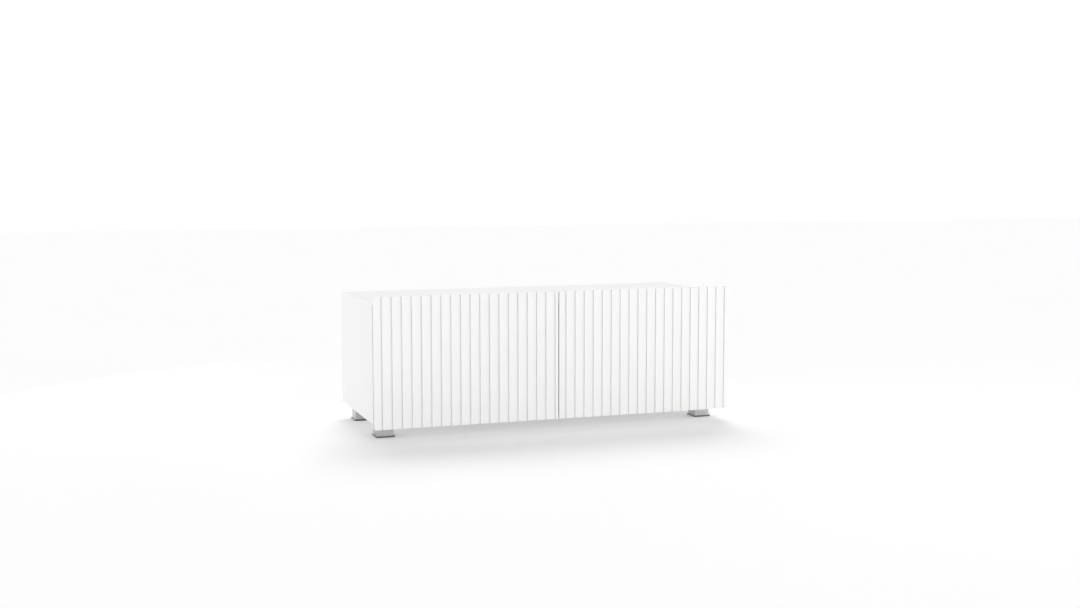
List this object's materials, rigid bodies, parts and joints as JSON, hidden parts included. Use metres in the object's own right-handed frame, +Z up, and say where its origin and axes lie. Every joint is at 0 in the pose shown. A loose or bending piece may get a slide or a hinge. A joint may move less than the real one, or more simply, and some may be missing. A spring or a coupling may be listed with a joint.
{
  "type": "tv stand with doors",
  "caption": "Low white television cabinet on square metal feet, with flush overlay doors cut by fine upright grooves, adjustable shelves and cable outlets behind.",
  "frame": {"origin": "Centre of the footprint on the floor: middle of the width and of the overall depth, at the undersides of the foot pads.", "axes": "+X runs along the width to the right as seen from the front, +Y runs from the doors to the back panel, +Z is up."},
  "size_m": [1, 0.418, 0.375],
  "materials": {
    "white_laminate": "matt white melamine-faced board with edge banding",
    "white_lacquer": "smooth satin white lacquer on grooved fibreboard",
    "white_hardboard": "thin white-faced hardboard",
    "brushed_aluminium": "upright brushed, satin anodised",
    "black_plastic": "moulded black plastic with a fine satin grain",
    "nickel_steel": "nickel-plated pressed steel",
    "zinc_steel": "zinc-plated steel",
    "zinc_casting": "die-cast zinc, dull",
    "beech": "fluted beech dowel",
    "pad_rubber": "dark anti-slip pad",
    "clear_pad": "soft translucent bumper"
  },
  "bodies": {
    "cabinet": {"top_panel": "white_laminate", "bottom_panel": "white_laminate", "left_side_panel": "white_laminate", "right_side_panel": "white_laminate", "centre_partition": "white_laminate", "back_panel": "white_hardboard", "left_shelf": "white_laminate", "right_shelf": "white_laminate", "left_shelf_pins": "zinc_steel", "right_shelf_pins": "zinc_steel", "dowels": "beech", "cam_bolts": "zinc_steel", "cam_housings": "zinc_casting", "back_panel_nails": "zinc_steel", "front_left_foot": "brushed_aluminium", "front_right_foot": "brushed_aluminium", "rear_left_foot": "brushed_aluminium", "rear_right_foot": "brushed_aluminium", "front_left_foot_base": "black_plastic", "front_right_foot_base": "black_plastic", "rear_left_foot_base": "black_plastic", "rear_right_foot_base": "black_plastic", "foot_pads": "pad_rubber", "foot_bolts": "zinc_steel", "foot_inserts": "zinc_steel", "left_lower_hinge_arm": "nickel_steel", "left_upper_hinge_arm": "nickel_steel", "right_lower_hinge_arm": "nickel_steel", "right_upper_hinge_arm": "nickel_steel", "left_lower_hinge_plate": "nickel_steel", "left_upper_hinge_plate": "nickel_steel", "right_lower_hinge_plate": "nickel_steel", "right_upper_hinge_plate": "nickel_steel", "hinge_arm_pins": "nickel_steel", "hinge_arm_screws": "zinc_steel", "hinge_plate_screws": "zinc_steel"},
    "left_links": {"left_hinge_links": "nickel_steel"},
    "left_door": {"left_door_panel": "white_lacquer", "left_door_bumpers": "clear_pad", "left_lower_hinge_cup": "nickel_steel", "left_upper_hinge_cup": "nickel_steel", "left_cup_pins": "zinc_steel", "left_cup_screws": "zinc_steel"},
    "right_links": {"right_hinge_links": "nickel_steel"},
    "right_door": {"right_door_panel": "white_lacquer", "right_door_bumpers": "clear_pad", "right_lower_hinge_cup": "nickel_steel", "right_upper_hinge_cup": "nickel_steel", "right_cup_pins": "zinc_steel", "right_cup_screws": "zinc_steel"}
  },
  "joints": [
    {"name": "left_hinge_link", "type": "hinge", "parent": "cabinet", "child": "left_links", "pos_m": [-0.463, -0.174, 0.204], "axis": [0, 0, -1], "range_deg": [-19, 0]},
    {"name": "left_door", "type": "hinge", "parent": "left_links", "child": "left_door", "pos_m": [-0.4895, -0.199, 0.204], "axis": [0, 0, -1], "range_deg": [0, 119]},
    {"name": "right_hinge_link", "type": "hinge", "parent": "cabinet", "child": "right_links", "pos_m": [0.463, -0.174, 0.204], "axis": [0, 0, 1], "range_deg": [-19, 0]},
    {"name": "right_door", "type": "hinge", "parent": "right_links", "child": "right_door", "pos_m": [0.4895, -0.199, 0.204], "axis": [0, 0, 1], "range_deg": [0, 119]}
  ],
  "couplings": [
    {"joint": "left_hinge_link", "follows": "left_door", "ratio": -0.15966},
    {"joint": "right_hinge_link", "follows": "right_door", "ratio": -0.15966}
  ]
}
